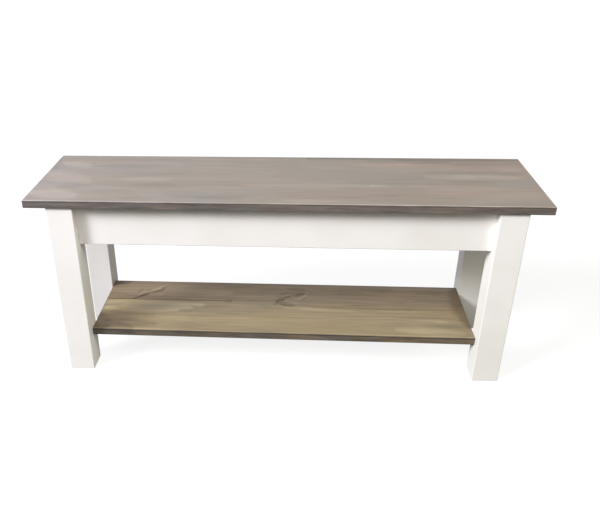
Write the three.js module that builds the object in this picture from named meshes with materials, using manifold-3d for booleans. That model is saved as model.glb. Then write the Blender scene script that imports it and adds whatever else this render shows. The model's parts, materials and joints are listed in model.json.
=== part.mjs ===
// A plain wooden bench with a low shelf: a stained board top on four square painted legs,
// painted aprons between the legs, and a stained two-board shelf that ties the legs low down.
// Millimetres, +Z up, +X to the right along the bench, +Y to its back.
// The origin is on the floor, under the middle of the top.
import * as THREE from 'three';
import { mergeVertices } from 'three/addons/utils/BufferGeometryUtils.js';
import Module from 'manifold-3d';

// Overall
const seat_height = 470;
const top_length = 1194;
const top_depth = 330;
const board_thickness = 19;

// Top
const top_board_places = ['front', 'middle', 'rear'];
const end_overhang = 50;
const side_overhang = 6.5;

// Legs
const leg_width = 63.5;

// Aprons
const apron_height = 102;
const apron_setback = 22.25;

// Shelf
const shelf_top_height = 109;
const shelf_setback = 26;
const shelf_rear_board_width = 107;
const batten_width = 38;
const batten_thickness = 19;
const batten_inset = 230;

// The shelf's joint has opened at its left end, and closes along the shelf
const seam_opening = 1.6;
const seam_open_share = 0.36;

// Edges eased by hand, and the hairline between faces that are glued or screwed together
const edge_radius = 2;
const end_ease = 1.2;
const joint_gap = 0.1;

// Washer-head screw. Its length is measured under the head.
const screw_length = 32;
const shank_radius = 1.75;
const point_length = 6;
const washer_radius = 4.25;
const washer_thickness = 1;
const head_radius = 3;
const head_height = 2.2;
const head_dome = 0.7;
const drive_width = 2.4;
const drive_depth = 1.8;

// Pocket joint
const pocket_angle = THREE.MathUtils.degToRad(15);
const pocket_radius = 4.75;
const screw_bite = 16;
const pilot_clearance = 0.35;
const seat_clearance = 0.3;
const apron_screw_shares = [0.25, 0.75];
const long_top_screw_shares = [-0.34, 0, 0.34];
const shelf_screw_shares = [0.25, 0.75];
const front_batten_screw_shares = [0.2, 0.8];
const rear_batten_screw_shares = [0.25, 0.75];

// Facets and the overrun of every cut
const arc_steps = 2;
const screw_sides = 10;
const drill_sides = 10;
const overrun = 2;

// Places that the sizes give
const top_underside = seat_height - board_thickness;
const leg_height = top_underside - joint_gap;
const leg_centre_x = top_length / 2 - end_overhang - leg_width / 2;
const leg_centre_y = top_depth / 2 - side_overhang - leg_width / 2;
const leg_inside_x = leg_centre_x - leg_width / 2;
const leg_inside_y = leg_centre_y - leg_width / 2;
const apron_offset = leg_width / 2 - apron_setback - board_thickness / 2;
const apron_bottom = top_underside - apron_height;
const shelf_depth = 2 * (leg_centre_y + leg_width / 2 - shelf_setback);
const shelf_seam_y = shelf_depth / 2 - shelf_rear_board_width;
const shelf_underside = shelf_top_height - board_thickness;
const batten_x = leg_inside_x - batten_inset;

const painted = { color: 0xf0ede6, roughness: 0.45, metalness: 0 };
const stained_top = { color: 0xa79d92, roughness: 0.5, metalness: 0 };
const stained_shelf = { color: 0x97866f, roughness: 0.55, metalness: 0 };
const zinc = { color: 0xb9babb, roughness: 0.35, metalness: 1 };

const wasm = await Module();
wasm.setup();

const X = new THREE.Vector3(1, 0, 0);
const Y = new THREE.Vector3(0, 1, 0);
const Z = new THREE.Vector3(0, 0, 1);

function vector(x, y, z) {
  return new THREE.Vector3(x, y, z);
}

// A closed three.js geometry as a solid that can be cut.
function solidOf(geometry) {
  const bare = geometry.clone();
  bare.deleteAttribute('normal');
  bare.deleteAttribute('uv');
  const merged = mergeVertices(bare);
  const mesh = new wasm.Mesh({
    numProp: 3,
    vertProperties: new Float32Array(merged.attributes.position.array),
    triVerts: new Uint32Array(merged.index.array),
  });
  return new wasm.Manifold(mesh);
}

function geometryOf(solid) {
  const { vertProperties, triVerts } = solid.getMesh();
  const geometry = new THREE.BufferGeometry();
  geometry.setAttribute('position', new THREE.BufferAttribute(vertProperties, 3));
  geometry.setIndex(new THREE.BufferAttribute(triVerts, 1));
  const faceted = geometry.toNonIndexed();
  faceted.computeVertexNormals();
  return faceted;
}

// A rectangle with rounded corners, centred on zero.
function roundedSection(width, height, radius) {
  const x = width / 2 - radius;
  const y = height / 2 - radius;
  const section = new THREE.Shape();
  section.absarc(x, y, radius, 0, Math.PI / 2, false);
  section.absarc(-x, y, radius, Math.PI / 2, Math.PI, false);
  section.absarc(-x, -y, radius, Math.PI, 1.5 * Math.PI, false);
  section.absarc(x, -y, radius, 1.5 * Math.PI, 2 * Math.PI, false);
  return section;
}

// Which of a piece's sizes are its section's width and height, and its length, for each grain direction.
const GRAIN = {
  x: { width: 'y', height: 'z', length: 'x', basis: [Y, Z, X] },
  y: { width: 'z', height: 'x', length: 'y', basis: [Z, X, Y] },
  z: { width: 'x', height: 'y', length: 'z', basis: [X, Y, Z] },
};

// A piece of timber with eased edges and ends, running along its grain.
function timber(size, centre, grain) {
  const { width, height, length, basis } = GRAIN[grain];
  const section = roundedSection(
    size[width] - 2 * end_ease,
    size[height] - 2 * end_ease,
    edge_radius - end_ease,
  );
  const geometry = new THREE.ExtrudeGeometry(section, {
    depth: size[length] - 2 * end_ease,
    bevelSize: end_ease,
    bevelThickness: end_ease,
    bevelSegments: arc_steps,
    curveSegments: arc_steps,
  });
  geometry.translate(0, 0, end_ease - size[length] / 2);
  geometry.applyMatrix4(new THREE.Matrix4().makeBasis(...basis));
  geometry.translate(centre.x, centre.y, centre.z);
  return solidOf(geometry);
}

function block(low, high) {
  const size = high.clone().sub(low);
  const centre = low.clone().add(high).divideScalar(2);
  return solidOf(new THREE.BoxGeometry(size.x, size.y, size.z).translate(centre.x, centre.y, centre.z));
}

// The boards of a panel that was glued up first and had its edges eased as one piece.
// seams are the panel's two edges and the joints between them, from front to back.
function ripPanel(size, centre, seams) {
  const panel = timber(size, centre, 'x');
  const reach_x = size.x / 2 + overrun;
  const reach_z = size.z / 2 + overrun;
  return seams.slice(1).map((rear, index) => {
    const low_y = seams[index] + (index === 0 ? -overrun : joint_gap / 2);
    const high_y = rear + (index === seams.length - 2 ? overrun : -joint_gap / 2);
    const low = vector(-reach_x, low_y, centre.z - reach_z);
    const high = vector(reach_x, high_y, centre.z + reach_z);
    return panel.intersect(block(low, high));
  });
}

const wood = {};

function addWood(name, solid, look) {
  wood[name] = { solid, look };
}

function addTop() {
  const width = top_depth / top_board_places.length;
  const rear_seams = top_board_places.map((_, i) => (i + 1) * width - top_depth / 2);
  const size = vector(top_length, top_depth, board_thickness);
  const centre = vector(0, 0, seat_height - board_thickness / 2);
  ripPanel(size, centre, [-top_depth / 2, ...rear_seams]).forEach((solid, i) => {
    addWood(`top_board_${top_board_places[i]}`, solid, stained_top);
  });
}

// The bench's ends and sides, with the sign of the axis that each lies on.
const ENDS = { left: -1, right: 1 };
const SIDES = { front: -1, rear: 1 };

function addLegs() {
  const size = vector(leg_width, leg_width, leg_height);
  for (const [side, sy] of Object.entries(SIDES)) {
    for (const [end, sx] of Object.entries(ENDS)) {
      const centre = vector(sx * leg_centre_x, sy * leg_centre_y, leg_height / 2);
      addWood(`leg_${side}_${end}`, timber(size, centre, 'z'), painted);
    }
  }
}

function addAprons() {
  const height = apron_height - joint_gap;
  const z = apron_bottom + height / 2;
  const long = vector(2 * (leg_inside_x - joint_gap), board_thickness, height);
  const short = vector(board_thickness, 2 * (leg_inside_y - joint_gap), height);
  for (const [side, sy] of Object.entries(SIDES)) {
    const centre = vector(0, sy * (leg_centre_y + apron_offset), z);
    addWood(`apron_${side}`, timber(long, centre, 'x'), painted);
  }
  for (const [end, sx] of Object.entries(ENDS)) {
    const centre = vector(sx * (leg_centre_x + apron_offset), 0, z);
    addWood(`apron_${end}`, timber(short, centre, 'y'), painted);
  }
}

function addShelf() {
  const size = vector(2 * (leg_inside_x - joint_gap), shelf_depth, board_thickness);
  const centre = vector(0, 0, shelf_top_height - board_thickness / 2);
  const seams = [-shelf_depth / 2, shelf_seam_y, shelf_depth / 2];
  const opening = seamOpening(size, centre);
  const [front, rear] = ripPanel(size, centre, seams).map((board) => board.subtract(opening));
  addWood('shelf_board_front', front, stained_shelf);
  addWood('shelf_board_rear', rear, stained_shelf);
}

// A long wedge of air in the shelf's joint, widest at the shelf's left end.
function seamOpening(size, centre) {
  const end = -size.x / 2;
  const half = seam_opening / 2;
  const outline = [
    [end - overrun, -half],
    [end, -half],
    [end + seam_open_share * size.x, 0],
    [end, half],
    [end - overrun, half],
  ];
  const wedge = new THREE.Shape(outline.map(([x, y]) => new THREE.Vector2(x, y)));
  const depth = size.z + 2 * overrun;
  const geometry = new THREE.ExtrudeGeometry(wedge, { depth, bevelEnabled: false });
  geometry.translate(0, shelf_seam_y, centre.z - depth / 2);
  return solidOf(geometry);
}

function addBattens() {
  const size = vector(batten_width, 2 * leg_inside_y, batten_thickness);
  const z = shelf_underside - joint_gap - batten_thickness / 2;
  for (const [end, sx] of Object.entries(ENDS)) {
    const centre = vector(sx * batten_x, 0, z);
    addWood(`shelf_batten_${end}`, timber(size, centre, 'y'), stained_shelf);
  }
}

// A revolved outline, from its lowest point on the axis to its highest, as [radius, height] pairs.
function revolved(outline, sides) {
  return new THREE.LatheGeometry(outline.map(([r, h]) => new THREE.Vector2(r, h)), sides);
}

// The screw stands on the underside of its washer, with its point down the -Y axis.
function screwGeometry() {
  const head_top = washer_thickness + head_height;
  const body = revolved([
    [0, -screw_length],
    [shank_radius, point_length - screw_length],
    [shank_radius, 0],
    [washer_radius, 0],
    [washer_radius, washer_thickness],
    [head_radius, washer_thickness],
    [head_radius, head_top - head_dome],
    [head_radius - head_dome, head_top],
    [0, head_top],
  ], screw_sides);
  const drive = new THREE.BoxGeometry(drive_width, drive_depth + overrun, drive_width);
  drive.translate(0, head_top - drive_depth + (drive_depth + overrun) / 2, 0);
  return geometryOf(solidOf(body).subtract(solidOf(drive)));
}

// The space that a stepped drill clears for a screw, in the screw's own frame: a pilot hole
// round the shank, and above the seat a bore for the head, as long as reach.
function drillSolid(bore_radius, reach) {
  const pilot_radius = shank_radius + pilot_clearance;
  const seat = -seat_clearance;
  return solidOf(revolved([
    [0, -screw_length - 2 * seat_clearance],
    [pilot_radius, point_length - screw_length],
    [pilot_radius, seat],
    [bore_radius, seat],
    [bore_radius, reach],
    [0, reach],
  ], drill_sides));
}

// Turns and moves the screw's frame: its head points along back, its seat is at the point.
function frameAt(seat, back) {
  const turn = new THREE.Quaternion().setFromUnitVectors(Y, back);
  return new THREE.Matrix4().compose(seat, turn, vector(1, 1, 1));
}

const screws = [];

// Sets one screw, and drills every piece that it passes through.
function setScrew(name, seat, back, bore_radius, reach, pieces) {
  const frame = frameAt(seat, back);
  const drill = drillSolid(bore_radius, reach).transform(frame.elements);
  for (const piece of pieces) {
    wood[piece].solid = wood[piece].solid.subtract(drill);
  }
  screws.push({ name, frame });
}

// A slanting pocket screw through the joint between two pieces. joint is where the screw's axis
// crosses it, halfway through the board; towards points across the joint; hidden_face points out
// of the board's face that the pocket opens on.
function setPocketScrew(name, joint, towards, hidden_face, pieces) {
  const back = towards.clone().multiplyScalar(-Math.cos(pocket_angle));
  back.addScaledVector(hidden_face, Math.sin(pocket_angle));
  const seat = joint.clone().addScaledVector(back, screw_length - screw_bite);
  const to_face = board_thickness / 2 + pocket_radius * Math.cos(pocket_angle);
  const reach = to_face / Math.sin(pocket_angle) - (screw_length - screw_bite) + overrun;
  setScrew(name, seat, back, pocket_radius, reach, pieces);
}

function setApronScrews() {
  const heights = apron_screw_shares.map((share) => apron_bottom + share * apron_height);
  for (const [side, sy] of Object.entries(SIDES)) {
    for (const [end, sx] of Object.entries(ENDS)) {
      heights.forEach((z, i) => {
        const leg = `leg_${side}_${end}`;
        const long_joint = vector(sx * leg_inside_x, sy * (leg_centre_y + apron_offset), z);
        setPocketScrew(`apron_${side}_screw_${end}_${i + 1}`, long_joint, vector(sx, 0, 0),
          vector(0, -sy, 0), [`apron_${side}`, leg]);
        const short_joint = vector(sx * (leg_centre_x + apron_offset), sy * leg_inside_y, z);
        setPocketScrew(`apron_${end}_screw_${side}_${i + 1}`, short_joint, vector(0, sy, 0),
          vector(-sx, 0, 0), [`apron_${end}`, leg]);
      });
    }
  }
}

function setTopScrews() {
  for (const [side, sy] of Object.entries(SIDES)) {
    long_top_screw_shares.forEach((share, i) => {
      const joint = vector(share * 2 * leg_inside_x, sy * (leg_centre_y + apron_offset), top_underside);
      setPocketScrew(`top_${side}_screw_${i + 1}`, joint, Z, vector(0, -sy, 0),
        [`apron_${side}`, `top_board_${side}`]);
    });
  }
  for (const [end, sx] of Object.entries(ENDS)) {
    const joint = vector(sx * (leg_centre_x + apron_offset), 0, top_underside);
    setPocketScrew(`top_${end}_screw`, joint, Z, vector(-sx, 0, 0),
      [`apron_${end}`, 'top_board_middle']);
  }
}

// The shelf overlaps each leg from its own edge to the leg's inside face.
function setShelfScrews() {
  const overlap = shelf_depth / 2 - leg_inside_y;
  const z = shelf_top_height - board_thickness / 2;
  for (const [side, sy] of Object.entries(SIDES)) {
    for (const [end, sx] of Object.entries(ENDS)) {
      shelf_screw_shares.forEach((share, i) => {
        const joint = vector(sx * leg_inside_x, sy * (leg_inside_y + share * overlap), z);
        setPocketScrew(`shelf_${side}_screw_${end}_${i + 1}`, joint, vector(sx, 0, 0),
          vector(0, 0, -1), [`shelf_board_${side}`, `leg_${side}_${end}`]);
      });
    }
  }
}

// Straight screws up through each batten, two into each shelf board.
function setBattenScrews() {
  const reach = washer_thickness + head_height + overrun;
  const seat_z = shelf_underside - joint_gap - batten_thickness - seat_clearance;
  const runs = {
    front: { from: -leg_inside_y, to: shelf_seam_y, shares: front_batten_screw_shares },
    rear: { from: shelf_seam_y, to: leg_inside_y, shares: rear_batten_screw_shares },
  };
  for (const [end, sx] of Object.entries(ENDS)) {
    for (const [side, run] of Object.entries(runs)) {
      run.shares.forEach((share, i) => {
        const y = run.from + share * (run.to - run.from);
        setScrew(`batten_${end}_screw_${side}_${i + 1}`, vector(sx * batten_x, y, seat_z),
          vector(0, 0, -1), pocket_radius, reach, [`shelf_batten_${end}`, `shelf_board_${side}`]);
      });
    }
  }
}

function woodMesh(name, { solid, look }) {
  const geometry = geometryOf(solid);
  geometry.computeBoundingBox();
  const centre = geometry.boundingBox.getCenter(vector(0, 0, 0));
  geometry.translate(-centre.x, -centre.y, -centre.z);
  const mesh = new THREE.Mesh(geometry, new THREE.MeshStandardMaterial(look));
  mesh.name = name;
  mesh.position.copy(centre);
  return mesh;
}

function screwMesh(geometry, { name, frame }) {
  const mesh = new THREE.Mesh(geometry, new THREE.MeshStandardMaterial(zinc));
  mesh.name = name;
  frame.decompose(mesh.position, mesh.quaternion, mesh.scale);
  return mesh;
}

addTop();
addLegs();
addAprons();
addShelf();
addBattens();
setApronScrews();
setTopScrews();
setShelfScrews();
setBattenScrews();

const bench = new THREE.Group();
const timbers = new THREE.Group();
const hardware = new THREE.Group();
bench.add(timbers, hardware);
for (const [name, piece] of Object.entries(wood)) {
  timbers.add(woodMesh(name, piece));
}
const screw = screwGeometry();
for (const entry of screws) {
  hardware.add(screwMesh(screw, entry));
}

export default bench;
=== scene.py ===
# The looks of a plain wooden bench: stained top and shelf, white painted legs and aprons, zinc screws.
# Metres, in the frame of the solids: +X to the right along the bench, +Y to its back, +Z up.
import json
import math

import bpy
import numpy as np
from mathutils import Matrix, Vector


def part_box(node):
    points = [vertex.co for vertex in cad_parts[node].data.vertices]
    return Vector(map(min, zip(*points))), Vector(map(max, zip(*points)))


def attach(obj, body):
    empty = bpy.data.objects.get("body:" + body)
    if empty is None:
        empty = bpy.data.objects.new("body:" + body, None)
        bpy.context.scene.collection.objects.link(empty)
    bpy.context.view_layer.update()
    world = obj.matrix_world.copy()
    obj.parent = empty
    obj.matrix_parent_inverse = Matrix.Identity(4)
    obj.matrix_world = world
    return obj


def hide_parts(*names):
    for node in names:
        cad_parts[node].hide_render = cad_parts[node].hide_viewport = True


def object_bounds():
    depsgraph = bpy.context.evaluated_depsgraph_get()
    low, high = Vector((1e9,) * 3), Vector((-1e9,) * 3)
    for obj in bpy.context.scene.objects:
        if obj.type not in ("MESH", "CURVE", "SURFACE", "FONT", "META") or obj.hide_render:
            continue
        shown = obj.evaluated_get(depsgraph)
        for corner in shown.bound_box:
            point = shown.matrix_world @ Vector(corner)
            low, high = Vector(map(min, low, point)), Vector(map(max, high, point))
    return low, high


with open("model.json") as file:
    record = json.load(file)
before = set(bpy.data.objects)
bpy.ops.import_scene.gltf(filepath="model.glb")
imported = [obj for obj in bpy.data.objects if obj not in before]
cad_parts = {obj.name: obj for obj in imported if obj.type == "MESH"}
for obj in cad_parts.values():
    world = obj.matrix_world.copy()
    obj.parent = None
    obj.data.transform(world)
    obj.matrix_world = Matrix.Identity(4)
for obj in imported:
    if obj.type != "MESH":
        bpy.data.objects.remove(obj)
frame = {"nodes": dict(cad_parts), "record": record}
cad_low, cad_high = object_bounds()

MM = 0.001
WHITE = (1, 1, 1, 1)

# The picture's frame, and where the picture was taken from
PICTURE_WIDTH, PICTURE_HEIGHT = 600, 522
LENS_PIXELS = 706.7
AXIS_PIXEL = (237.5, 310.1)
CAMERA_PLACE = (0.0344, -1.6481, 1.0620)
CAMERA_YAW = -5.297
CAMERA_PITCH = 30.27
CAMERA_ROLL = -1.243
SENSOR_WIDTH = 36

# Light, where 1 shows a colour as it is written. A far lamp has its strength, the spread of its light in
# degrees, its azimuth and elevation in degrees, with azimuth 0 in front and -90 at the left, and its colour.
FAR_LAMPS = {
    "key": (0.94, 20, -56, 31, (0.99, 1, 0.96)),
    "right": (0.37, 30, 72, 35, (1, 0.99, 0.87)),
    "back": (0.36, 30, 180, 12, (1, 1, 1)),
}
# The far lamps that leave no sheen. The back one would put a glare on the top.
SHEENLESS = ("back",)
# A window is a nearer lamp, with its power in watts, its place in metres and its colour
WINDOWS = {
    "window_left": (20, (-1.5, -1.2, 1.8), (0.73, 0.72, 1)),
    "window_front": (10, (-0.15, -1.6, 1.6), (1, 0.88, 0.83)),
    "window_back": (5, (-1.35, 0.8, 1.2), (0.84, 0.78, 1)),
    "window_top": (2.0, (-0.8, 0.3, 1.3), (0.88, 0.82, 1)),
}
WINDOW_SIZE = 0.9
WINDOW_AIM = (0, 0, 0.3)
FILL_STRENGTH = 0.12
FILL_COLOUR = (1, 1, 1, 1)
FLOOR_SIZE = 80
# The floor's colour and glow for rays that look at it, and the dimmer colour that lights the bench
FLOOR_SHADED = (0.24, 0.24, 0.24, 1)
FLOOR_GLOW = 0.83
FLOOR_BOUNCE = (0.13, 0.13, 0.11, 1)


def linear(red, green, blue):
    """An 8-bit screen colour as the linear colour that the shader takes."""
    def one(value):
        value /= 255
        return value / 12.92 if value <= 0.04045 else ((value + 0.055) / 1.055) ** 2.4
    return one(red), one(green), one(blue), 1


def make_camera():
    """The camera at the photograph's place. The picture was cropped, so its middle isn't on the axis."""
    yaw, pitch, roll = (math.radians(v) for v in (CAMERA_YAW, CAMERA_PITCH, CAMERA_ROLL))
    flat = Vector((math.sin(yaw), math.cos(yaw), 0))
    forward = flat * math.cos(pitch) - Vector((0, 0, math.sin(pitch)))
    level = Vector((math.cos(yaw), -math.sin(yaw), 0))
    upright = level.cross(forward)
    right = level * math.cos(roll) + upright * math.sin(roll)
    up = upright * math.cos(roll) - level * math.sin(roll)
    data = bpy.data.cameras.new("camera")
    data.sensor_width = SENSOR_WIDTH
    data.lens = LENS_PIXELS * SENSOR_WIDTH / PICTURE_WIDTH
    data.shift_x = (PICTURE_WIDTH / 2 - AXIS_PIXEL[0]) / PICTURE_WIDTH
    data.shift_y = (AXIS_PIXEL[1] - PICTURE_HEIGHT / 2) / PICTURE_WIDTH
    camera = bpy.data.objects.new("camera", data)
    bpy.context.scene.collection.objects.link(camera)
    turn = Matrix((right, up, -forward)).transposed()
    camera.matrix_world = Matrix.Translation(CAMERA_PLACE) @ turn.to_4x4()
    bpy.context.scene.camera = camera


class Shader:
    """Adds nodes to one node tree. An input is a number, a colour, a vector or another node's output."""

    def __init__(self, tree):
        self.tree = tree
        tree.nodes.clear()

    def add(self, kind, inputs=(), **settings):
        node = self.tree.nodes.new(kind)
        for key, value in settings.items():
            setattr(node, key, value)
        for key, value in dict(inputs).items():
            self.put(node.inputs[key], value)
        return node

    def put(self, socket, value):
        if isinstance(value, bpy.types.NodeSocket):
            self.tree.links.new(value, socket)
        else:
            socket.default_value = value

    def math(self, operation, *values, clamp=False):
        return self.add("ShaderNodeMath", enumerate(values), operation=operation, use_clamp=clamp).outputs[0]

    def sum(self, *values):
        total = values[0]
        for value in values[1:]:
            total = self.math("ADD", total, value)
        return total

    def times(self, value, factor):
        return self.math("MULTIPLY", value, factor)

    def length(self, first, second):
        """The length of a flat vector."""
        return self.math("SQRT", self.sum(self.math("POWER", first, 2), self.math("POWER", second, 2)))

    def vector(self, operation, *values):
        return self.add("ShaderNodeVectorMath", enumerate(values), operation=operation).outputs[0]

    def split(self, vector):
        return self.add("ShaderNodeSeparateXYZ", {0: vector}).outputs

    def join(self, x, y, z):
        return self.add("ShaderNodeCombineXYZ", {0: x, 1: y, 2: z}).outputs[0]

    def noise(self, place, stretch, detail=3, roughness=0.55):
        """Noise from 0 to 1. The stretch has its features a metre along each axis."""
        inputs = {
            "Vector": self.vector("MULTIPLY", place, stretch),
            "Scale": 1,
            "Detail": detail,
            "Roughness": roughness,
        }
        return self.add("ShaderNodeTexNoise", inputs).outputs["Fac"]

    def centred(self, value, amount, middle=0):
        """A value from 0 to 1 as a change of up to amount either way from the middle."""
        return self.math("MULTIPLY_ADD", value, 2 * amount, middle - amount)

    def swing(self, amount, place, *look):
        """Noise as a change of up to amount either way."""
        return self.centred(self.noise(place, *look), amount)

    def step(self, value, low, high):
        """0 below low, 1 above high and smooth between them. high may be the lower one."""
        inputs = {"Value": value, "From Min": low, "From Max": high}
        node = self.add("ShaderNodeMapRange", inputs, interpolation_type="SMOOTHSTEP")
        return node.outputs["Result"]

    def mix(self, share, first, second, blend="MIX"):
        node = self.add("ShaderNodeMix", data_type="RGBA", blend_type=blend)
        for socket, value in zip((0, 6, 7), (share, first, second)):
            self.put(node.inputs[socket], value)
        return node.outputs[2]

    def bump(self, height, depth, strength=1.0):
        inputs = {"Strength": strength, "Distance": depth, "Height": height}
        return self.add("ShaderNodeBump", inputs).outputs[0]

    def surface(self, inputs):
        node = self.add("ShaderNodeBsdfPrincipled", inputs)
        out = self.add("ShaderNodeOutputMaterial")
        self.tree.links.new(node.outputs[0], out.inputs["Surface"])


def new_material(name):
    material = bpy.data.materials.new(name)
    material.use_nodes = True
    return material, Shader(material.node_tree)


# The stains: their plain tone and how far it drifts to a warm and a cool one, the edge's tones, the arris
# line above it, which on the top is a painted highlight, its dark lines, and what a full dark or light
# stroke multiplies the tone by
TOP = dict(
    tone=linear(131, 123, 112), warm=linear(138, 122, 109), cool=linear(125, 123, 119), drift=0.8,
    # The arris tone is a painted highlight along the upper edge
    edge_warm=linear(98, 89, 81), edge_cool=linear(92, 87, 83), arris=linear(182, 174, 165),
    rim=linear(70, 64, 60), rim_share=0.5,
    # The cool tint of a light stroke partly paints the window's sheen
    dark=(0.465, 0.475, 0.475, 1), light=(1.54, 1.60, 1.66, 1),
)
SHELF = dict(
    warm=linear(144, 127, 93), cool=linear(122, 113, 92), drift=0.8,
    edge_warm=linear(93, 81, 62), edge_cool=linear(82, 76, 68), arris=linear(120, 107, 85),
    rim=linear(48, 43, 36), rim_share=0.85,
    # The cool tint of a light stroke partly paints the window's sheen
    dark=(0.50, 0.47, 0.43, 1), light=(1.66, 1.69, 1.74, 1),
)
SHELF_FRONT = linear(146, 131, 101)
SHELF_REAR = linear(128, 112, 88)
KNOT = dict(dark=(0.36, 0.29, 0.20, 1), light=(1.50, 1.60, 1.68, 1))
PAINT = linear(249, 247, 244)
PAINT_SHADE = linear(241, 239, 233)
RAW_PINE = linear(222, 192, 148)
RAW_PINE_GRAIN = linear(196, 158, 110)
ZINC = linear(196, 197, 198)
ZINC_DULL = linear(168, 166, 160)

# Strokes in the stain and the grain, in millimetres: the start, the end, how far the middle bows to the
# left of the way from start to end, the half-width, and how much lighter or, below zero, darker it is.
# On the top they are streaks and patches of thinner or thicker stain, its darker rear edge, and a painted
# sheen at the left end.
TOP_STREAKS_AND_PAINTED_SHEEN = [
    # The first three, light patches at the left end, are partly a painted sheen of the window's light
    ((-582, 20), (-480, -40), 0, 36, 0.30),
    ((-590, -110), (-490, -130), 0, 34, 0.50),
    ((-567, 105), (-500, 80), 0, 24, 0.30),
    ((-600, 140), (-585, 50), 0, 16, -0.28),
    ((-560, 138), (-300, 140), 0, 11, -0.14),
    ((-447, 113), (-277, 114), 0, 14, 0.14),
    ((-497, 80), (-287, 82), 3, 14, -0.22),
    ((-407, 56), (-312, 56), 0, 11, 0.10),
    ((-397, 28), (-257, 28), 0, 15, -0.12),
    ((-397, -18), (-277, -12), 0, 18, 0.24),
    ((-357, -57), (-257, -55), 0, 16, -0.20),
    ((-535, -70), (-472, -60), 0, 16, -0.22),
    ((-337, -105), (-287, -108), 0, 28, 0.14),
    ((-197, -132), (-87, -132), 0, 12, -0.18),
    ((-90, -47), (250, -46), 0, 12, 0.18),
    ((205, -44), (240, -42), 0, 9, 0.28),
    ((155, -27), (360, -31), 0, 8, -0.16),
    ((0, -122), (190, -120), 0, 13, -0.20),
    ((5, -146), (190, -146), 0, 9, 0.18),
    ((205, -105), (260, -106), 0, 11, -0.20),
    ((175, 106), (420, 112), 0, 13, 0.20),
    ((160, 84), (240, 84), 0, 6, -0.20),
    ((215, 133), (415, 134), 0, 14, -0.22),
    ((350, 52), (575, 48), 3, 14, -0.20),
    ((350, 22), (555, 20), 0, 20, 0.34),
    ((410, 24), (460, 22), 0, 13, 0.18),
    ((390, -14), (495, -18), 0, 16, -0.18),
    ((530, 84), (575, 80), 0, 16, 0.18),
    ((350, -80), (560, -84), 0, 40, 0.14),
    ((60, 152), (600, 152), 0, 10, -0.56),
    ((290, 143), (600, 143), 0, 16, -0.30),
    ((-70, 158), (190, 158), 0, 9, -0.26),
    ((330, 120), (600, 122), 0, 18, -0.26),
    ((-250, 152), (0, 152), 0, 7, -0.26),
]

# The shelf's rear board has two slanting knots, and a small square mark where the open seam ends
KNOT_STROKES = [
    ((-411, 27), (-330, 96), 0, 9.0, -0.20),
    ((-408, 25), (-372, 60), 1, 4.2, -0.85),
    ((-392, 40), (-370, 54), 0, 4.0, -0.35),
    ((-401, 44), (-362, 79), 4, 3.0, 0.70),
    ((-364, 76), (-338, 104), -2, 4.6, 0.80),
    ((-340, 102), (-320, 118), 0, 3.2, 0.45),
    ((-360, 64), (-333, 90), -3, 6.0, -0.65),
    ((-345, 50), (-328, 57), 0, 4.0, 0.40),
    ((-402, 62), (-392, 84), 0, 5.5, -0.35),
    ((-382, 72), (-372, 86), 0, 5.0, -0.25),
    ((-12, 30), (58, 92), 4, 16.0, -0.22),
    ((-10, 26), (32, 8), -2, 10.0, -0.34),
    ((-12, 35), (6, 42), 0, 6.0, -0.75),
    ((3, 45), (22, 59), 1, 5.0, -0.50),
    ((-20, 12), (-14, 17), 0, 3.4, -0.50),
    ((-15, 20), (-12, 31), 0, 3.2, -0.45),
    ((-3, 16), (31, 4), -2, 3.6, -0.50),
    ((30, 5), (54, -1), -1, 3.0, -0.40),
    ((9, 34), (16, 31), 0, 5.5, 0.35),
    ((16, 37), (42, 18), 2, 4.6, 0.35),
    ((4, 56), (26, 74), 2, 3.2, 0.55),
    ((-4, 74), (24, 83), 1, 5.0, -0.38),
    ((38, 62), (60, 77), 1, 7.0, -0.62),
    ((38, 43), (58, 58), -2, 3.4, 0.60),
    ((57, 57), (68, 78), 0, 3.2, 0.65),
    ((56, 48), (68, 51), 0, 3.6, -0.45),
    ((18, 102), (60, 101), 0, 9.0, -0.40),
    ((-153, 22), (-138, 22), 0, 3.0, -0.45),
    ((-138, 23), (-138, 33), 0, 2.6, -0.45),
    ((-139, 34), (-154, 34), 0, 2.6, -0.35),
]
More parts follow.
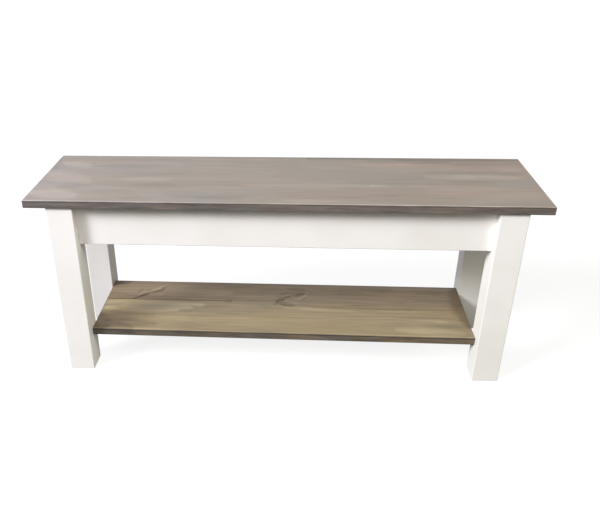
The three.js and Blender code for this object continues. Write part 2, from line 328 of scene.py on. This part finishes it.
# The shelf's streaks, with painted light and shade: painted light and sheen at the left, a painted
# reflection along the front, painted shadows of the legs at its corners and right end, and painted shade
# under the top at the rear
SHELF_STREAKS_PAINTED_LIGHT_AND_SHADE = [
    ((8, -3), (196, -13), -2, 5.0, 0.42),
    ((-283, 4), (-198, 3), 0, 2.8, 0.36),
    ((-138, 4), (-60, 4), 0, 2.8, 0.42),
    ((-290, -3), (-230, -2), 0, 2.6, -0.40),
    ((-450, -26), (-330, -29), 0, 2.8, -0.36),
    ((-170, -42), (-80, -45), 0, 2.6, -0.36),
    ((166, 17), (251, 17), 0, 2.8, -0.40),
    ((200, -1), (346, 1), 0, 3.2, -0.60),
    ((163, -44), (256, -40), 0, 2.8, -0.45),
    ((296, -40), (451, -41), 0, 2.8, -0.45),
    ((246, -19), (330, -20), 0, 2.4, -0.30),
    ((266, -11), (390, -9), 0, 2.8, 0.34),
    ((336, -54), (426, -52), 0, 2.8, 0.40),
    ((396, -56), (426, -58), 0, 6, 0.30),
    # Painted light and sheen of the window at the shelf's left
    ((-470, 6), (-220, 0), 0, 24, 0.80),
    ((-470, -24), (-280, -28), 0, 20, 1.0),
    ((-420, -8), (-250, -14), 0, 22, 0.68),
    ((-433, -67), (-245, -68), 0, 12, 0.26),
    ((-480, 80), (-150, 76), 0, 34, 0.52),
    # The painted shadow of the front left leg at the front left corner
    ((-484, -60), (-462, -136), 0, 30, -0.80),
    ((-450, -92), (-330, -104), 0, 20, -0.52),
    ((-450, -120), (-385, -126), 0, 22, -0.56),
    # A painted reflection along the front board
    ((300, -100), (455, -112), 0, 20, 0.50),
    ((-320, -58), (430, -60), 0, 26, 0.12),
    # Painted shade under the top, towards the rear at the right
    ((170, 86), (480, 84), 0, 46, -0.34),
    ((225, 112), (300, 108), 0, 16, -0.24),
    # Painted shade where the shelf meets the rear left leg
    ((-470, 116), (-436, 128), 0, 16, -0.80),
    # Painted shade of the right legs over the shelf's right end
    ((484, 130), (484, -70), 0, 32, -0.95),
    ((330, 40), (480, 20), 0, 60, -0.20),
    # Painted shade under the top along the rear
    ((-150, 100), (220, 98), 0, 30, -0.14),
]
# A stroke's width at its ends, as a share of its widest
STROKE_END_WIDTH = 0.5
# How far from its middle, in half-widths, a soft stroke ends and is full, and how far a crisp one draws
# both in
STROKE_OUTLINE = (1.7, 0.1)
STROKE_CRISPING = 0.6
# The seam between the shelf's boards, in millimetres. It is open from the left end to SEAM_OPEN_TO.
SEAM_Y = 25.5
SEAM_HALF_WIDTH, SEAM_CORE, SEAM_DEPTH = 3.6, 0.4, 0.6
SEAM_OPEN_TO, SEAM_FADE = -138, 3
# The rear board's stain spills over the seam where that is closed: more and more between two places along
# the shelf, and by STAIN_SPILL to the right of them. Its soft border lies across the seam.
STAIN_SPILL = 26
SPILL_ALONG = (-100, 140)
STAIN_BORDER = (-5, 2)


def stroke_share(shader, x, y, ends, bow, half_width, crisp):
    """1 along the middle of a stroke and 0 outside it. The stroke is fullest halfway along."""
    (x0, y0), (x1, y1) = ends
    length = math.hypot(x1 - x0, y1 - y0)
    ux, uy = (x1 - x0) / length, (y1 - y0) / length
    from_x = shader.math("SUBTRACT", x, x0 * MM)
    from_y = shader.math("SUBTRACT", y, y0 * MM)
    along = shader.sum(shader.times(from_x, ux), shader.times(from_y, uy))
    across = shader.math("SUBTRACT", shader.times(from_y, ux), shader.times(from_x, uy))
    share = shader.math("DIVIDE", along, length * MM, clamp=True)
    beyond = shader.math("SUBTRACT", along, shader.times(share, length * MM))
    fullness = shader.math("SINE", shader.times(share, math.pi))
    if bow:
        across = shader.math("MULTIPLY_ADD", fullness, -bow * MM, across)
    end_width = STROKE_END_WIDTH * half_width * MM
    width = shader.math("MULTIPLY_ADD", fullness, half_width * MM - end_width, end_width)
    away = shader.math("DIVIDE", shader.length(beyond, across), width)
    outside, full = STROKE_OUTLINE
    return shader.step(away, outside - STROKE_CRISPING * crisp, full + STROKE_CRISPING * crisp)


def strokes_shade(shader, x, y, strokes, crisp):
    """The strokes' summed shade, over 0 where they darken. Their edge is soft at crisp 0 and hard at 1."""
    total = 0
    for start, end, bow, half_width, light in strokes:
        share = stroke_share(shader, x, y, (start, end), bow, half_width, crisp)
        total = shader.math("MULTIPLY_ADD", share, -light, total)
    return total


def seam_shade(shader, x, y):
    """The dark line of the open seam, from the shelf's left end."""
    away = shader.math("ABSOLUTE", shader.math("SUBTRACT", y, SEAM_Y * MM))
    line = shader.step(away, SEAM_HALF_WIDTH * MM, SEAM_CORE * SEAM_HALF_WIDTH * MM)
    reach = shader.step(x, (SEAM_OPEN_TO + SEAM_FADE) * MM, (SEAM_OPEN_TO - SEAM_FADE) * MM)
    return shader.times(shader.times(line, reach), SEAM_DEPTH)


# A log's growth rings: the pith's y and z and a ring's width, in millimetres, and the pith's slant
TOP_RINGS = dict(pith=(-60, 320), slant=0.02, ring=4.2)
SHELF_RINGS = dict(pith=(260, -150), slant=0.03, ring=6.5)
BATTEN_RINGS = dict(pith=(20, 90), slant=0.05, ring=5.0)
# How far the rings stray from round, in millimetres, with the noise that they stray by
RING_STRAYS = [(7, (1.6, 6, 6), 2), (0.8, (9, 60, 60), 2)]
# Each ring darkens outwards from LATE_START to LATE_FULL of its width, and turns light again after LATE_END
LATE_START, LATE_FULL, LATE_END = 0.3, 0.88, 0.92
RINGS_FADE, RINGS_FADE_RANGE = ((2.5, 30, 30), 2), (0.25, 0.7)


def growth_rings(shader, place, log):
    """The late wood of the growth rings, 0 to 1, round a pith that runs along the board, well off it."""
    x, y, z = shader.split(place)
    pith_y, pith_z = log["pith"]
    off_y = shader.math("MULTIPLY_ADD", x, log["slant"], shader.math("SUBTRACT", y, pith_y * MM))
    off_z = shader.math("SUBTRACT", z, pith_z * MM)
    strays = [shader.swing(amount * MM, place, *look) for amount, *look in RING_STRAYS]
    radius = shader.sum(shader.length(off_y, off_z), *strays)
    phase = shader.math("FRACT", shader.math("DIVIDE", radius, log["ring"] * MM))
    late = shader.times(shader.step(phase, LATE_START, LATE_FULL), shader.step(phase, 1.0, LATE_END))
    return shader.times(late, shader.step(shader.noise(place, *RINGS_FADE), *RINGS_FADE_RANGE))


# How far a face's normal leans sideways, from 0 to 1, where the edge begins, and where the arris line
# above it begins and ends. On the top that line is a painted highlight.
EDGE_LEAN = (0.3, 0.5)
ARRIS_LINE_START, ARRIS_LINE_END = (0.1, 0.18), (0.85, 0.6)
ARRIS_LINE_UPWARD = (0, 0.2)
# The edge's dark lines, in millimetres: the upper one's end and start below the board's face, and the
# lower one's end above its underside
UPPER_LINE_END, UPPER_LINE_START = (5.2, 3.2), (0.8, 1.4)
# The lower line is painted shade along the edge's underside
LOWER_LINE_END = (2.6, 0.8)
LOWER_LINE_SHARE = 0.9


def edge_shares(shader, low, high):
    """How far a face is part of an edge, of the arris line along its top, and of its two dark lines.

    low and high are the heights of the board's two faces.
    """
    normal = shader.add("ShaderNodeTexCoord").outputs["Normal"]
    x, y, z = shader.split(normal)
    side = shader.math("MAXIMUM", shader.math("ABSOLUTE", y), shader.math("ABSOLUTE", x))
    edge = shader.step(side, *EDGE_LEAN)
    arris_line = shader.times(shader.step(side, *ARRIS_LINE_START), shader.step(side, *ARRIS_LINE_END))
    arris_line = shader.times(arris_line, shader.step(z, *ARRIS_LINE_UPWARD))
    height = shader.split(shader.add("ShaderNodeTexCoord").outputs["Object"])[2]
    end, start = ([high - fall * MM for fall in border] for border in (UPPER_LINE_END, UPPER_LINE_START))
    above = shader.times(shader.step(height, *end), shader.step(height, *start))
    below = shader.step(height, *(low + rise * MM for rise in LOWER_LINE_END))
    lines = shader.math("MAXIMUM", above, shader.times(below, LOWER_LINE_SHARE))
    return edge, arris_line, shader.times(lines, edge)


# How far along the noise each board's wood lies from the next board's
BOARD_OFFSET = (1.83, 0.37, 0.59)
TOP_SEAM_START, TOP_BOARD_WIDTH = -0.165, 0.110
# The shelf has one seam, so any width over the shelf's own will do
SHELF_BOARD_WIDTH = 1


def boards(shader, point, seam_start, board_width):
    """The point, with each board's wood taken from a place of its own."""
    _, y, _ = shader.split(point)
    number = shader.math("FLOOR", shader.math("DIVIDE", shader.math("SUBTRACT", y, seam_start), board_width))
    offset = shader.join(*(shader.times(number, step) for step in BOARD_OFFSET))
    return shader.vector("ADD", point, offset)


# The noises in the wood, each with its features a metre along each axis, its detail and its roughness
GRAIN = dict(
    patch=((5, 24, 24), 5, 0.68),
    cloud=((4.6, 24, 24), 4, 0.6),
    broad=((1.3, 6, 6), 2, 0.55),
    streak=((8, 130, 130), 4, 0.7),
    fine=((60, 1600, 1600), 2, 0.65),
    dash=((6.5, 100, 100), 1.5, 0.5),
    edge=((13, 130, 130), 3, 0.65),
)
PATCH_RANGE = (0.44, 0.57)
DARK_DASH_RANGE, LIGHT_DASH_RANGE = (0.56, 0.66), (0.42, 0.33)
# How much each of them, and the late wood, shades a board
TOP_AMOUNTS = dict(late=0.10, cloud=0.18, broad=0.12, patch=0.07, streak=0.18, dash=0.04, fine=0.11)
SHELF_AMOUNTS = dict(late=0.26, cloud=0.24, broad=0.22, patch=0.05, streak=0.40, dash=0.20, fine=0.18)
EDGE_STREAKS = 1.9
# How much they raise the grain, as shares of GRAIN_HEIGHT
RAISED = dict(fine=0.6, late=0.7, streak=0.5)
GRAIN_HEIGHT, GRAIN_STRENGTH = 0.22 * MM, 0.55


def wood_shade(shader, place, amounts, log, edge):
    """The wood's own light and dark, streakier on its edges, the height of its grain, and its streaks."""
    parts = {name: shader.noise(place, *look) for name, look in GRAIN.items()}
    parts["patch"] = shader.step(parts["patch"], *PATCH_RANGE)
    late = growth_rings(shader, place, log)
    dark_dashes, light_dashes = (shader.step(parts["dash"], *r) for r in (DARK_DASH_RANGE, LIGHT_DASH_RANGE))
    centred = [shader.centred(parts[n], amounts[n]) for n in ("patch", "cloud", "broad", "streak", "fine")]
    shade = shader.sum(
        shader.times(late, amounts["late"]),
        shader.times(shader.math("SUBTRACT", dark_dashes, light_dashes), amounts["dash"]),
        *centred,
        shader.times(shader.centred(parts["edge"], EDGE_STREAKS), edge),
    )
    parts["late"] = late
    height = shader.sum(*(shader.times(parts[name], share) for name, share in RAISED.items()))
    return shade, height, parts["streak"]


def shaded(shader, tone, shade, look):
    """A tone made darker where shade is over 0, and lighter where it is under."""
    dark = shader.mix(shader.math("ADD", shade, 0, clamp=True), WHITE, look["dark"])
    light = shader.mix(shader.math("MULTIPLY", shade, -1, clamp=True), WHITE, look["light"])
    return shader.mix(1.0, shader.mix(1.0, tone, dark, "MULTIPLY"), light, "MULTIPLY")


# The hue's noise, and the ranges of it over which a tone turns warm or cool
HUE, WARM_RANGE, COOL_RANGE = ((2.6, 15, 15),), (0.5, 0.75), (0.5, 0.25)
EDGE_HUE, EDGE_HUE_RANGE = ((9, 30, 30), 3, 0.6), (0.42, 0.58)
# How much a hue warms up in a metre to the right, and how warm the top's is at its middle
TOP_WARMTH, TOP_WARMTH_MIDDLE = 0.20, 0.04
EDGE_WARMTH = 0.16
EDGE_SHARE, ARRIS_SHARE = 0.94, 0.8


def tinted(shader, place, tone, look, warmth=0):
    """A tone that drifts towards its warm and cool neighbours, and is warmer where warmth is over 0."""
    hue = shader.math("ADD", shader.noise(place, *HUE), warmth)
    tone = shader.mix(shader.times(shader.step(hue, *WARM_RANGE), look["drift"]), tone, look["warm"])
    return shader.mix(shader.times(shader.step(hue, *COOL_RANGE), look["drift"]), tone, look["cool"])


def edged(shader, place, tone, look, shares):
    """A tone with the board's darker edges, which drift in colour, their arris line (a painted highlight on
    the top) and their dark lines.
    """
    edge, arris_line, lines = shares
    x = shader.split(shader.add("ShaderNodeTexCoord").outputs["Object"])[0]
    hue = shader.math("MULTIPLY_ADD", x, EDGE_WARMTH, shader.noise(place, *EDGE_HUE))
    edge_tone = shader.mix(shader.step(hue, *EDGE_HUE_RANGE), look["edge_cool"], look["edge_warm"])
    tone = shader.mix(shader.times(edge, EDGE_SHARE), tone, edge_tone)
    tone = shader.mix(shader.times(arris_line, ARRIS_SHARE), tone, look["arris"])
    return shader.mix(shader.times(lines, look["rim_share"]), tone, look["rim"])


# The noises that make a stroke's outline uneven
WARP_ALONG, WARP_ACROSS = ((30, 60, 60),), ((22, 70, 70), 4)
TOP_WARP, SHELF_WARP = 8 * MM, 3 * MM
TOP_CRISP, SHELF_CRISP, KNOT_CRISP = 0.4, 0.3, 0.1


def warped(shader, point, amount):
    """The flat place of a point, moved by up to amount across the board and twice that along it."""
    x, y, _ = shader.split(point)
    return (
        shader.math("ADD", x, shader.swing(2 * amount, point, *WARP_ALONG)),
        shader.math("ADD", y, shader.swing(amount, point, *WARP_ACROSS)),
    )


TOP_ROUGH, SHELF_ROUGH, ROUGH_SWING = 0.5, 0.55, 0.08
STAIN_SHEEN = 0.42


def finish_wood(shader, tone, height, streak, rough):
    shader.surface({
        "Base Color": tone,
        "Roughness": shader.centred(streak, ROUGH_SWING, rough),
        "Normal": shader.bump(height, GRAIN_HEIGHT, GRAIN_STRENGTH),
        "Specular IOR Level": STAIN_SHEEN,
    })


# The painted highlight along the top's outer edges, in millimetres, with how much of it is full
EDGE_HIGHLIGHT_WIDTH, EDGE_HIGHLIGHT_CORE = 4.5, 0.3
EDGE_HIGHLIGHT_BREAKS, EDGE_HIGHLIGHT_BREAKS_RANGE = ((7, 7, 7), 4, 0.6), (0.34, 0.56)
EDGE_HIGHLIGHT_LIGHT = 0.5


def painted_edge_highlight(shader, point, high):
    """A broken painted highlight along a panel's outer edges. high is the panel's far corner."""
    x, y, _ = shader.split(point)
    in_x = shader.math("SUBTRACT", high[0], shader.math("ABSOLUTE", x))
    in_y = shader.math("SUBTRACT", high[1], shader.math("ABSOLUTE", y))
    line = shader.step(shader.math("MINIMUM", in_x, in_y), EDGE_HIGHLIGHT_WIDTH * MM, EDGE_HIGHLIGHT_CORE * EDGE_HIGHLIGHT_WIDTH * MM)
    return shader.times(line, shader.step(shader.noise(point, *EDGE_HIGHLIGHT_BREAKS), *EDGE_HIGHLIGHT_BREAKS_RANGE))


def top_stain():
    """Weathered grey-brown stain on the top's three boards, wiped on in long uneven patches, with painted
    sheen and highlights.
    """
    material, shader = new_material("top_stain")
    point = shader.add("ShaderNodeTexCoord").outputs["Object"]
    place = boards(shader, point, TOP_SEAM_START, TOP_BOARD_WIDTH)
    low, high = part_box("top_board_front")
    shares = edge_shares(shader, low[2], high[2])
    warmth = shader.math("MULTIPLY_ADD", shader.split(point)[0], TOP_WARMTH, TOP_WARMTH_MIDDLE)
    tone = edged(shader, place, tinted(shader, place, TOP["tone"], TOP, warmth), TOP, shares)
    shade, height, streak = wood_shade(shader, place, TOP_AMOUNTS, TOP_RINGS, shares[0])
    x, y = warped(shader, point, TOP_WARP)
    flat = shader.math("SUBTRACT", 1, shares[0])
    edge_highlight = shader.times(painted_edge_highlight(shader, point, cad_high), flat)
    strokes = shader.times(strokes_shade(shader, x, y, TOP_STREAKS_AND_PAINTED_SHEEN, TOP_CRISP), flat)
    shade = shader.sum(shade, strokes, shader.times(edge_highlight, -EDGE_HIGHLIGHT_LIGHT))
    finish_wood(shader, shaded(shader, tone, shade, TOP), height, streak, TOP_ROUGH)
    return material


# The grain breaks up the knots' strokes
KNOT_FIBRES, FIBRE_SWING = ((40, 260, 260), 3, 0.6), 0.6


def shelf_stain():
    """Brown stain on the shelf's two boards, a greyer rear one with knots and a golden one in front, with
    painted light and shade.
    """
    material, shader = new_material("shelf_stain")
    point = shader.add("ShaderNodeTexCoord").outputs["Object"]
    place = boards(shader, point, SEAM_Y * MM, SHELF_BOARD_WIDTH)
    low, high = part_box("shelf_board_front")
    shares = edge_shares(shader, low[2], high[2])
    true_x, true_y, _ = shader.split(point)
    spill = shader.times(shader.step(true_x, *(x * MM for x in SPILL_ALONG)), STAIN_SPILL * MM)
    rear = shader.step(shader.math("ADD", true_y, spill), *((SEAM_Y + y) * MM for y in STAIN_BORDER))
    tone = tinted(shader, place, shader.mix(rear, SHELF_FRONT, SHELF_REAR), SHELF)
    tone = edged(shader, place, tone, SHELF, shares)
    shade, height, streak = wood_shade(shader, place, SHELF_AMOUNTS, SHELF_RINGS, shares[0])
    x, y = warped(shader, point, SHELF_WARP)
    shade = shader.sum(
        shade,
        strokes_shade(shader, x, y, SHELF_STREAKS_PAINTED_LIGHT_AND_SHADE, SHELF_CRISP),
        shelf_rims(shader, true_y, low[1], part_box("shelf_board_rear")[1][1], shares[0]),
    )
    tone = shaded(shader, tone, shade, SHELF)
    fibres = shader.centred(shader.noise(point, *KNOT_FIBRES), FIBRE_SWING, 1)
    knots = shader.times(strokes_shade(shader, x, y, KNOT_STROKES, KNOT_CRISP), fibres)
    knots = shader.sum(knots, seam_shade(shader, true_x, true_y))
    finish_wood(shader, shaded(shader, tone, knots, KNOT), height, streak, SHELF_ROUGH)
    return material


# The shelf's lines along its long edges: where each one ends and is full, in millimetres, and its strength
FRONT_LIGHT_LINE, FRONT_LIGHTENING = (7, 3.5), 0.5
REAR_DARK_LINE, REAR_DARKENING = (7, 4), 0.6


def shelf_rims(shader, y, front, rear, edge):
    """The shelf's face is lighter along its front edge, and darker along its rear one."""
    flat = shader.math("SUBTRACT", 1, edge)
    light = shader.times(shader.step(y, *(front + away * MM for away in FRONT_LIGHT_LINE)), -FRONT_LIGHTENING)
    dark = shader.times(shader.step(y, *(rear - away * MM for away in REAR_DARK_LINE)), REAR_DARKENING)
    return shader.times(shader.sum(light, dark), flat)


def batten_stain():
    """The shelf's stain on the battens under it, which run from front to back."""
    material, shader = new_material("batten_stain")
    x, y, z = shader.split(shader.add("ShaderNodeTexCoord").outputs["Object"])
    place = shader.join(y, x, z)
    low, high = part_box("shelf_batten_left")
    shares = edge_shares(shader, low[2], high[2])
    tone = edged(shader, place, tinted(shader, place, SHELF_REAR, SHELF), SHELF, shares)
    shade, height, streak = wood_shade(shader, place, SHELF_AMOUNTS, BATTEN_RINGS, shares[0])
    finish_wood(shader, shaded(shader, tone, shade, SHELF), height, streak, SHELF_ROUGH)
    return material


# Brush marks and raised grain, in features a metre, for pieces whose grain runs along each axis
PAINT_STRETCH = {
    "x": ((14, 420, 420), (3, 90, 90)),
    "y": ((420, 14, 420), (90, 3, 90)),
    "z": ((420, 420, 14), (90, 90, 3)),
}
PAINT_CLOUD, CLOUD_RANGE = ((5, 5, 5),), (0.3, 0.75)
BRUSH_RANGE, BRUSH_SHARE = (0.5, 0.8), 0.15
PAINT_ROUGH, PAINT_ROUGH_CLOUD = 0.42, 0.12
PAINT_SHEEN = 0.32
# The marks' height, its strength, and how many times as high the grain under them is
PAINT_HEIGHT, PAINT_STRENGTH, UNDER_PAINT = 0.12 * MM, 0.5, 1.6


def white_paint(axis):
    """White satin paint over wood: faint brush marks and raised grain along the piece."""
    material, shader = new_material("white_paint_" + axis)
    place = shader.add("ShaderNodeTexCoord").outputs["Object"]
    thin, wide = PAINT_STRETCH[axis]
    cloud = shader.noise(place, *PAINT_CLOUD)
    brush = shader.noise(place, thin, 3, 0.6)
    grain = shader.noise(place, wide, 2)
    tone = shader.mix(shader.step(cloud, *CLOUD_RANGE), PAINT, PAINT_SHADE)
    tone = shader.mix(shader.times(shader.step(brush, *BRUSH_RANGE), BRUSH_SHARE), tone, PAINT_SHADE)
    marks = shader.math("MULTIPLY_ADD", grain, UNDER_PAINT, brush)
    shader.surface({
        "Base Color": tone,
        "Roughness": shader.math("MULTIPLY_ADD", cloud, PAINT_ROUGH_CLOUD, PAINT_ROUGH),
        "Normal": shader.bump(marks, PAINT_HEIGHT, PAINT_STRENGTH),
        "Specular IOR Level": PAINT_SHEEN,
    })
    return material


def raw_pine():
    """Bare pine, cut by the drill."""
    material, shader = new_material("raw_pine")
    place = shader.add("ShaderNodeTexCoord").outputs["Object"]
    grain = shader.noise(place, (60, 500, 500), 3)
    shader.surface({
        "Base Color": shader.mix(shader.step(grain, 0.3, 0.8), RAW_PINE, RAW_PINE_GRAIN),
        "Roughness": 0.75,
        "Normal": shader.bump(grain, 0.2 * MM, 0.6),
        "Specular IOR Level": 0.3,
    })
    return material


def zinc_steel():
    """Bright zinc plating, a little dulled."""
    material, shader = new_material("zinc_steel")
    place = shader.add("ShaderNodeTexCoord").outputs["Object"]
    grit = shader.noise(place, (900, 900, 900), 3)
    cloud = shader.noise(place, (160, 160, 160), 2)
    shader.surface({
        "Base Color": shader.mix(shader.times(cloud, 0.35), ZINC, ZINC_DULL),
        "Metallic": 1.0,
        "Roughness": shader.math("MULTIPLY_ADD", grit, 0.18, 0.24),
        "Normal": shader.bump(grit, 0.03 * MM, 0.4),
    })
    return material


# A piece's rounded skin, just over its edge radius
SKIN_DEPTH = 2.05 * MM


def drilled_faces(piece):
    """The faces that a drill cut: those that don't lie in the skin of any side of the piece."""
    mesh = piece.data
    points = np.array([v.co for v in mesh.vertices])
    low, high = points.min(0), points.max(0)
    near = np.concatenate([points - low < SKIN_DEPTH, high - points < SKIN_DEPTH], axis=1)
    return [p.index for p in mesh.polygons if not near[list(p.vertices)].all(axis=0).any()]


def dress(node, material, bare):
    """Gives a solid its finish in place of its plain colour, and bare wood in its drilled holes."""
    piece = frame["nodes"][node]
    piece.data.materials.clear()
    piece.data.materials.append(material)
    piece.data.materials.append(bare)
    for index in drilled_faces(piece):
        piece.data.polygons[index].material_index = 1


def nodes_of(slot):
    return [s["node"] for s in frame["record"]["subparts"] if s["material_slot"] == slot]


def grain_axis(node):
    """A painted piece's grain runs along its longest side."""
    low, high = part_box(node)
    return "xyz"[max(range(3), key=lambda i: high[i] - low[i])]


def dress_wood():
    bare = raw_pine()
    top, shelf, batten = top_stain(), shelf_stain(), batten_stain()
    for node in nodes_of("top_stain"):
        dress(node, top, bare)
    for node in nodes_of("shelf_stain"):
        dress(node, batten if "batten" in node else shelf, bare)
    paints = {axis: white_paint(axis) for axis in "xyz"}
    for node in nodes_of("white_paint"):
        dress(node, paints[grain_axis(node)], bare)


# The screw, in millimetres, from the underside of its washer
SCREW_LENGTH = 32
WASHER_RADIUS, WASHER_THICKNESS = 4.25, 1.0
HEAD_RADIUS, HEAD_HEIGHT = 3.0, 2.2
DRIVE_WIDTH, DRIVE_DEPTH = 2.4, 1.8
ROOT_RADIUS, THREAD_RADIUS = 1.3, 1.75
SHANK_RADIUS, SHANK_LENGTH = 1.55, 7
POINT_LENGTH, POINT_BLUNTNESS = 6, 0.04
THREAD_PITCH, CREST_SLOPE = 2.3, 4
SIDES = 24
RINGS_A_TURN = 6
HEAD_TOP = WASHER_THICKNESS + HEAD_HEIGHT
# The radius and height of each ring from the head's top to the shank's end
HEAD_OUTLINE = [
    (HEAD_RADIUS - 0.9, HEAD_TOP),
    (HEAD_RADIUS - 0.35, HEAD_TOP - 0.2),
    (HEAD_RADIUS, HEAD_TOP - 0.7),
    (HEAD_RADIUS, WASHER_THICKNESS + 0.1),
    (WASHER_RADIUS - 0.2, WASHER_THICKNESS - 0.1),
    (WASHER_RADIUS, WASHER_THICKNESS - 0.35),
    (WASHER_RADIUS, 0.2),
    (WASHER_RADIUS - 0.2, 0),
    (SHANK_RADIUS + 0.25, 0),
    (SHANK_RADIUS, -0.5),
    (SHANK_RADIUS, 0.5 - SHANK_LENGTH),
]
# Edges that turn by more than this stay sharp, in degrees
SHARP_ANGLE = 38
# The points that are at least this share of the widest one out from the axis make up the washer's rim
RIM_SHARE = 0.9


def circle(radius, height):
    angles = (2 * math.pi * i / SIDES for i in range(SIDES))
    return [Vector((radius * math.cos(a), radius * math.sin(a), height)) for a in angles]


def square(width, height):
    """A square ring with as many points as the circles have, so that the two can be joined."""
    points = []
    for ray in circle(1, 0):
        reach = width / 2 / max(abs(ray.x), abs(ray.y))
        points.append(Vector((ray.x * reach, ray.y * reach, height)))
    return points


def thread_rings():
    """Rings down the threaded part, each pushed out where the thread's crest passes it."""
    rings = []
    start, end = -SHANK_LENGTH, -SCREW_LENGTH
    count = round((start - end) / THREAD_PITCH * RINGS_A_TURN)
    for i in range(count + 1):
        height = start + (end - start) * i / count
        taper = max(min(1, (height - end) / POINT_LENGTH), POINT_BLUNTNESS)
        ring = []
        for ray in circle(1, 0):
            turn = math.atan2(ray.y, ray.x) / (2 * math.pi)
            phase = (height / THREAD_PITCH + turn) % 1
            crest = max(0, 1 - abs(phase - 0.5) * CREST_SLOPE)
            radius = (ROOT_RADIUS + (THREAD_RADIUS - ROOT_RADIUS) * crest) * taper
            ring.append(Vector((ray.x * radius, ray.y * radius, height)))
        rings.append(ring)
    return rings


def skin_faces(count):
    """The faces of a closed skin over count rings."""
    faces = [tuple(range(SIDES))]
    for r in range(count - 1):
        for i in range(SIDES):
            j = (i + 1) % SIDES
            faces.append((r * SIDES + i, (r + 1) * SIDES + i, (r + 1) * SIDES + j, r * SIDES + j))
    faces.append(tuple((count - 1) * SIDES + i for i in reversed(range(SIDES))))
    return faces


def screw_mesh(material):
    """A washer-head wood screw: one skin of rings from the floor of its square drive to its point."""
    drive = [square(DRIVE_WIDTH, HEAD_TOP - DRIVE_DEPTH), square(DRIVE_WIDTH, HEAD_TOP)]
    rings = [*drive, *(circle(radius, height) for radius, height in HEAD_OUTLINE), *thread_rings()]
    mesh = bpy.data.meshes.new("wood_screw")
    mesh.from_pydata([p * MM for ring in rings for p in ring], [], skin_faces(len(rings)))
    mesh.update()
    mesh.materials.append(material)
    mesh.shade_smooth()
    mesh.set_sharp_from_angle(angle=math.radians(SHARP_ANGLE))
    return mesh


def screw_place(node):
    """Where a screw's solid lies: its axis, and the underside of its washer."""
    points = np.array([v.co for v in frame["nodes"][node].data.vertices])
    mean = points.mean(0)
    axis = np.linalg.svd(points - mean, full_matrices=False)[2][0]
    along = (points - mean) @ axis
    out = np.linalg.norm(points - mean - np.outer(along, axis), axis=1)
    in_rim = out > RIM_SHARE * out.max()
    if along[in_rim].mean() < along.mean():
        axis, along = -axis, -along
    back = Vector(axis)
    # The washer's rim goes round the axis, so its middle is on the axis
    rim = points[in_rim].mean(0)
    rim_along = (rim - mean) @ axis
    seat = Vector(rim) + back * (along.max() - rim_along - HEAD_TOP * MM)
    return Matrix.Translation(seat) @ back.to_track_quat("Z", "Y").to_matrix().to_4x4()


def add_screws():
    mesh = screw_mesh(zinc_steel())
    for node in nodes_of("screw_steel"):
        screw = bpy.data.objects.new("threaded_" + node, mesh)
        bpy.context.scene.collection.objects.link(screw)
        screw.matrix_world = screw_place(node)
        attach(screw, "root")
        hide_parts(node)


def seen_rays(shader):
    """1 for rays that show the background: the camera's, and those that metal or glass turns to it."""
    path = shader.add("ShaderNodeLightPath").outputs
    seen = shader.math("ADD", path["Is Camera Ray"], path["Is Glossy Ray"])
    return shader.math("ADD", seen, path["Is Transmission Ray"], clamp=True)


def make_floor():
    """A plain white floor that keeps a soft shadow of the bench and throws back less light than it shows."""
    mesh = bpy.data.meshes.new("floor")
    half = FLOOR_SIZE / 2
    corners = [(-half, -half, 0), (half, -half, 0), (half, half, 0), (-half, half, 0)]
    mesh.from_pydata(corners, [], [(0, 1, 2, 3)])
    floor = bpy.data.objects.new("floor", mesh)
    bpy.context.scene.collection.objects.link(floor)
    material, shader = new_material("floor")
    seen = seen_rays(shader)
    shader.surface({
        "Base Color": shader.mix(seen, FLOOR_BOUNCE, FLOOR_SHADED),
        "Emission Color": WHITE,
        "Emission Strength": shader.times(seen, FLOOR_GLOW),
        "Roughness": 1.0,
        "Specular IOR Level": 0.0,
    })
    mesh.materials.append(material)


def make_world():
    """A white background for what looks at it, and a dimmer fill for what it lights."""
    world = bpy.data.worlds.new("world")
    world.use_nodes = True
    bpy.context.scene.world = world
    shader = Shader(world.node_tree)
    fill = shader.add("ShaderNodeBackground", {"Color": FILL_COLOUR, "Strength": FILL_STRENGTH})
    white = shader.add("ShaderNodeBackground", {"Color": WHITE, "Strength": 1})
    parts = {0: seen_rays(shader), 1: fill.outputs[0], 2: white.outputs[0]}
    mixed = shader.add("ShaderNodeMixShader", parts)
    out = shader.add("ShaderNodeOutputWorld")
    shader.put(out.inputs["Surface"], mixed.outputs[0])


def add_lamp(name, kind, towards):
    """A lamp whose light comes from one direction."""
    data = bpy.data.lights.new(name, kind)
    lamp = bpy.data.objects.new(name, data)
    bpy.context.scene.collection.objects.link(lamp)
    lamp.rotation_euler = Vector(towards).to_track_quat("Z", "Y").to_euler()
    return lamp


def make_far_lamp(name, strength, spread, azimuth, elevation, colour):
    """A lamp far off, as wide as a studio's soft box."""
    a, e = math.radians(azimuth), math.radians(elevation)
    towards = (math.sin(a) * math.cos(e), -math.cos(a) * math.cos(e), math.sin(e))
    lamp = add_lamp(name, "SUN", towards)
    lamp.visible_glossy = name not in SHEENLESS
    lamp.data.energy = strength * math.pi
    lamp.data.angle = math.radians(spread)
    lamp.data.color = colour


def make_window(name, watts, place, colour):
    """A nearer square lamp, whose light fades along the bench."""
    lamp = add_lamp(name, "AREA", Vector(place) - Vector(WINDOW_AIM))
    lamp.location = place
    lamp.data.shape = "SQUARE"
    lamp.data.size = WINDOW_SIZE
    lamp.data.energy = watts
    lamp.data.color = colour


make_camera()
dress_wood()
add_screws()
make_floor()
make_world()
for lamp_name, settings in FAR_LAMPS.items():
    make_far_lamp(lamp_name, *settings)
for lamp_name, settings in WINDOWS.items():
    make_window(lamp_name, *settings)
bpy.context.scene.view_settings.view_transform = "Standard"
